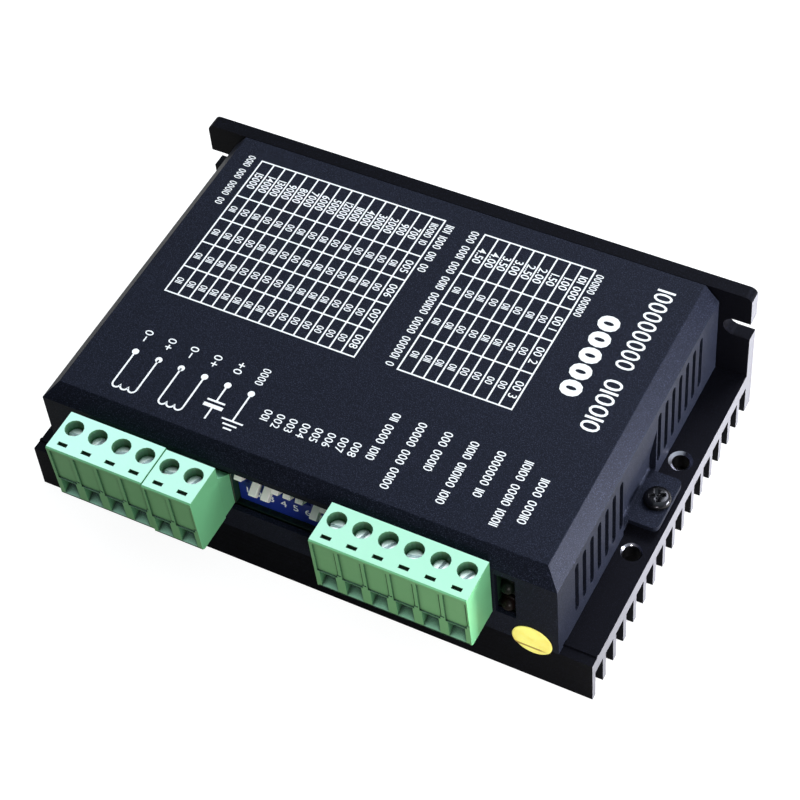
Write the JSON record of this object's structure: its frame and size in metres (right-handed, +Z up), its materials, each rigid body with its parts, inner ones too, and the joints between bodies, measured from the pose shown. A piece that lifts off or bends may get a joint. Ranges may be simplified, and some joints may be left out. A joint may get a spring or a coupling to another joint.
{
  "type": "stepper motor driver module",
  "caption": "Enclosed microstepping motor driver: finned heatsink with mounting wall, vented sheet-metal cover, pluggable screw terminals, piano-type DIP switch and status lamps.",
  "frame": {"origin": "centre of the tip of the middle cooling fin, on the underside in the middle of the module's length", "axes": "+X along the module's length, to the right when facing the connectors; -Y out of the connector panel; +Y towards the mounting wall; +Z up from the fins to the cover"},
  "size_m": [0.118, 0.0869, 0.0333],
  "materials": {
    "anodised_aluminium": "black anodised extrusion with bare sawn ends, satin",
    "powder_coated_steel": "fine-textured black powder coat with white screen print",
    "black_screw": "black oxide, semi-gloss",
    "seal_paper": "thin yellow tamper label, matt",
    "circuit_board": "green solder mask, satin",
    "gap_pad": "grey silicone gap pad, matt",
    "capacitor_sleeve": "shrink sleeve, semi-gloss",
    "chip_epoxy": "moulded epoxy, matt",
    "header_green": "moulded nylon, dark green",
    "plug_green": "moulded nylon, light green",
    "switch_blue": "moulded plastic, blue",
    "lever_white": "moulded plastic, white",
    "lamp_black": "moulded plastic, black",
    "lens_green": "tinted lens, unlit",
    "lens_red": "tinted lens, unlit",
    "brass": "turned brass",
    "zinc_steel": "bright zinc plate"
  },
  "bodies": {
    "chassis": {"heatsink": "anodised_aluminium", "cover": "powder_coated_steel", "cover_screw_left": "black_screw", "cover_screw_right": "black_screw", "tamper_seal": "seal_paper", "main_board": "circuit_board", "thermal_pad": "gap_pad", "capacitor_1": "capacitor_sleeve", "capacitor_2": "capacitor_sleeve", "processor": "chip_epoxy", "header_motor": "header_green", "header_power": "header_green", "header_signal": "header_green", "dip_body": "switch_blue", "lamp_holder": "lamp_black", "lamp_power": "lens_green", "lamp_alarm": "lens_red", "standoff_1": "brass", "board_screw_1": "zinc_steel", "standoff_2": "brass", "board_screw_2": "zinc_steel", "standoff_3": "brass", "board_screw_3": "zinc_steel", "standoff_4": "brass", "board_screw_4": "zinc_steel"},
    "motor_plug": {"plug_motor": "plug_green"},
    "motor_screw_1": {"motor_screw_1": "zinc_steel"},
    "motor_clamp_1": {"motor_clamp_1": "zinc_steel"},
    "motor_screw_2": {"motor_screw_2": "zinc_steel"},
    "motor_clamp_2": {"motor_clamp_2": "zinc_steel"},
    "motor_screw_3": {"motor_screw_3": "zinc_steel"},
    "motor_clamp_3": {"motor_clamp_3": "zinc_steel"},
    "motor_screw_4": {"motor_screw_4": "zinc_steel"},
    "motor_clamp_4": {"motor_clamp_4": "zinc_steel"},
    "power_plug": {"plug_power": "plug_green"},
    "power_screw_1": {"power_screw_1": "zinc_steel"},
    "power_clamp_1": {"power_clamp_1": "zinc_steel"},
    "power_screw_2": {"power_screw_2": "zinc_steel"},
    "power_clamp_2": {"power_clamp_2": "zinc_steel"},
    "signal_plug": {"plug_signal": "plug_green"},
    "signal_screw_1": {"signal_screw_1": "zinc_steel"},
    "signal_clamp_1": {"signal_clamp_1": "zinc_steel"},
    "signal_screw_2": {"signal_screw_2": "zinc_steel"},
    "signal_clamp_2": {"signal_clamp_2": "zinc_steel"},
    "signal_screw_3": {"signal_screw_3": "zinc_steel"},
    "signal_clamp_3": {"signal_clamp_3": "zinc_steel"},
    "signal_screw_4": {"signal_screw_4": "zinc_steel"},
    "signal_clamp_4": {"signal_clamp_4": "zinc_steel"},
    "signal_screw_5": {"signal_screw_5": "zinc_steel"},
    "signal_clamp_5": {"signal_clamp_5": "zinc_steel"},
    "signal_screw_6": {"signal_screw_6": "zinc_steel"},
    "signal_clamp_6": {"signal_clamp_6": "zinc_steel"},
    "dip_lever_1": {"dip_lever_1": "lever_white"},
    "dip_lever_2": {"dip_lever_2": "lever_white"},
    "dip_lever_3": {"dip_lever_3": "lever_white"},
    "dip_lever_4": {"dip_lever_4": "lever_white"},
    "dip_lever_5": {"dip_lever_5": "lever_white"},
    "dip_lever_6": {"dip_lever_6": "lever_white"},
    "dip_lever_7": {"dip_lever_7": "lever_white"},
    "dip_lever_8": {"dip_lever_8": "lever_white"}
  },
  "joints": [
    {"name": "motor_plug_slide", "type": "slide", "parent": "chassis", "child": "motor_plug", "axis": [0, -1, 0], "range_m": [0, 0.014]},
    {"name": "motor_screw_1_turn", "type": "hinge", "parent": "motor_plug", "child": "motor_screw_1", "pos_m": [-0.04164, -0.04222, 0.0295], "axis": [0, 0, 1], "range_deg": [-1440, 0]},
    {"name": "motor_clamp_1_lift", "type": "slide", "parent": "motor_plug", "child": "motor_clamp_1", "axis": [0, 0, 1], "range_m": [0, 0.002]},
    {"name": "motor_screw_2_turn", "type": "hinge", "parent": "motor_plug", "child": "motor_screw_2", "pos_m": [-0.03656, -0.04222, 0.0295], "axis": [0, 0, 1], "range_deg": [-1440, 0]},
    {"name": "motor_clamp_2_lift", "type": "slide", "parent": "motor_plug", "child": "motor_clamp_2", "axis": [0, 0, 1], "range_m": [0, 0.002]},
    {"name": "motor_screw_3_turn", "type": "hinge", "parent": "motor_plug", "child": "motor_screw_3", "pos_m": [-0.03148, -0.04222, 0.0295], "axis": [0, 0, 1], "range_deg": [-1440, 0]},
    {"name": "motor_clamp_3_lift", "type": "slide", "parent": "motor_plug", "child": "motor_clamp_3", "axis": [0, 0, 1], "range_m": [0, 0.002]},
    {"name": "motor_screw_4_turn", "type": "hinge", "parent": "motor_plug", "child": "motor_screw_4", "pos_m": [-0.0264, -0.04222, 0.0295], "axis": [0, 0, 1], "range_deg": [-1440, 0]},
    {"name": "motor_clamp_4_lift", "type": "slide", "parent": "motor_plug", "child": "motor_clamp_4", "axis": [0, 0, 1], "range_m": [0, 0.002]},
    {"name": "power_plug_slide", "type": "slide", "parent": "chassis", "child": "power_plug", "axis": [0, -1, 0], "range_m": [0, 0.014]},
    {"name": "power_screw_1_turn", "type": "hinge", "parent": "power_plug", "child": "power_screw_1", "pos_m": [-0.02112, -0.04253, 0.0295], "axis": [0, 0, 1], "range_deg": [-1440, 0]},
    {"name": "power_clamp_1_lift", "type": "slide", "parent": "power_plug", "child": "power_clamp_1", "axis": [0, 0, 1], "range_m": [0, 0.002]},
    {"name": "power_screw_2_turn", "type": "hinge", "parent": "power_plug", "child": "power_screw_2", "pos_m": [-0.01604, -0.04253, 0.0295], "axis": [0, 0, 1], "range_deg": [-1440, 0]},
    {"name": "power_clamp_2_lift", "type": "slide", "parent": "power_plug", "child": "power_clamp_2", "axis": [0, 0, 1], "range_m": [0, 0.002]},
    {"name": "signal_plug_slide", "type": "slide", "parent": "chassis", "child": "signal_plug", "axis": [0, -1, 0], "range_m": [0, 0.014]},
    {"name": "signal_screw_1_turn", "type": "hinge", "parent": "signal_plug", "child": "signal_screw_1", "pos_m": [0.01196, -0.04043, 0.0295], "axis": [0, 0, 1], "range_deg": [-1440, 0]},
    {"name": "signal_clamp_1_lift", "type": "slide", "parent": "signal_plug", "child": "signal_clamp_1", "axis": [0, 0, 1], "range_m": [0, 0.002]},
    {"name": "signal_screw_2_turn", "type": "hinge", "parent": "signal_plug", "child": "signal_screw_2", "pos_m": [0.01704, -0.04043, 0.0295], "axis": [0, 0, 1], "range_deg": [-1440, 0]},
    {"name": "signal_clamp_2_lift", "type": "slide", "parent": "signal_plug", "child": "signal_clamp_2", "axis": [0, 0, 1], "range_m": [0, 0.002]},
    {"name": "signal_screw_3_turn", "type": "hinge", "parent": "signal_plug", "child": "signal_screw_3", "pos_m": [0.02212, -0.04043, 0.0295], "axis": [0, 0, 1], "range_deg": [-1440, 0]},
    {"name": "signal_clamp_3_lift", "type": "slide", "parent": "signal_plug", "child": "signal_clamp_3", "axis": [0, 0, 1], "range_m": [0, 0.002]},
    {"name": "signal_screw_4_turn", "type": "hinge", "parent": "signal_plug", "child": "signal_screw_4", "pos_m": [0.0272, -0.04043, 0.0295], "axis": [0, 0, 1], "range_deg": [-1440, 0]},
    {"name": "signal_clamp_4_lift", "type": "slide", "parent": "signal_plug", "child": "signal_clamp_4", "axis": [0, 0, 1], "range_m": [0, 0.002]},
    {"name": "signal_screw_5_turn", "type": "hinge", "parent": "signal_plug", "child": "signal_screw_5", "pos_m": [0.03228, -0.04043, 0.0295], "axis": [0, 0, 1], "range_deg": [-1440, 0]},
    {"name": "signal_clamp_5_lift", "type": "slide", "parent": "signal_plug", "child": "signal_clamp_5", "axis": [0, 0, 1], "range_m": [0, 0.002]},
    {"name": "signal_screw_6_turn", "type": "hinge", "parent": "signal_plug", "child": "signal_screw_6", "pos_m": [0.03736, -0.04043, 0.0295], "axis": [0, 0, 1], "range_deg": [-1440, 0]},
    {"name": "signal_clamp_6_lift", "type": "slide", "parent": "signal_plug", "child": "signal_clamp_6", "axis": [0, 0, 1], "range_m": [0, 0.002]},
    {"name": "dip_lever_1_flip", "type": "hinge", "parent": "chassis", "child": "dip_lever_1", "pos_m": [-0.0113, -0.03297, 0.0247], "axis": [1, 0, 0], "range_deg": [0, 66.8]},
    {"name": "dip_lever_2_flip", "type": "hinge", "parent": "chassis", "child": "dip_lever_2", "pos_m": [-0.00876, -0.03297, 0.0247], "axis": [1, 0, 0], "range_deg": [-66.8, 0]},
    {"name": "dip_lever_3_flip", "type": "hinge", "parent": "chassis", "child": "dip_lever_3", "pos_m": [-0.00622, -0.03297, 0.0247], "axis": [1, 0, 0], "range_deg": [-66.8, 0]},
    {"name": "dip_lever_4_flip", "type": "hinge", "parent": "chassis", "child": "dip_lever_4", "pos_m": [-0.00368, -0.03297, 0.0247], "axis": [1, 0, 0], "range_deg": [0, 66.8]},
    {"name": "dip_lever_5_flip", "type": "hinge", "parent": "chassis", "child": "dip_lever_5", "pos_m": [-0.00114, -0.03297, 0.0247], "axis": [1, 0, 0], "range_deg": [0, 66.8]},
    {"name": "dip_lever_6_flip", "type": "hinge", "parent": "chassis", "child": "dip_lever_6", "pos_m": [0.0014, -0.03297, 0.0247], "axis": [1, 0, 0], "range_deg": [0, 66.8]},
    {"name": "dip_lever_7_flip", "type": "hinge", "parent": "chassis", "child": "dip_lever_7", "pos_m": [0.00394, -0.03297, 0.0247], "axis": [1, 0, 0], "range_deg": [-66.8, 0]},
    {"name": "dip_lever_8_flip", "type": "hinge", "parent": "chassis", "child": "dip_lever_8", "pos_m": [0.00648, -0.03297, 0.0247], "axis": [1, 0, 0], "range_deg": [0, 66.8]}
  ],
  "couplings": [
    {"joint": "motor_screw_1_turn", "follows": "motor_clamp_1_lift", "rad_per_m": -12566},
    {"joint": "motor_screw_2_turn", "follows": "motor_clamp_2_lift", "rad_per_m": -12566},
    {"joint": "motor_screw_3_turn", "follows": "motor_clamp_3_lift", "rad_per_m": -12566},
    {"joint": "motor_screw_4_turn", "follows": "motor_clamp_4_lift", "rad_per_m": -12566},
    {"joint": "power_screw_1_turn", "follows": "power_clamp_1_lift", "rad_per_m": -12566},
    {"joint": "power_screw_2_turn", "follows": "power_clamp_2_lift", "rad_per_m": -12566},
    {"joint": "signal_screw_1_turn", "follows": "signal_clamp_1_lift", "rad_per_m": -12566},
    {"joint": "signal_screw_2_turn", "follows": "signal_clamp_2_lift", "rad_per_m": -12566},
    {"joint": "signal_screw_3_turn", "follows": "signal_clamp_3_lift", "rad_per_m": -12566},
    {"joint": "signal_screw_4_turn", "follows": "signal_clamp_4_lift", "rad_per_m": -12566},
    {"joint": "signal_screw_5_turn", "follows": "signal_clamp_5_lift", "rad_per_m": -12566},
    {"joint": "signal_screw_6_turn", "follows": "signal_clamp_6_lift", "rad_per_m": -12566}
  ]
}
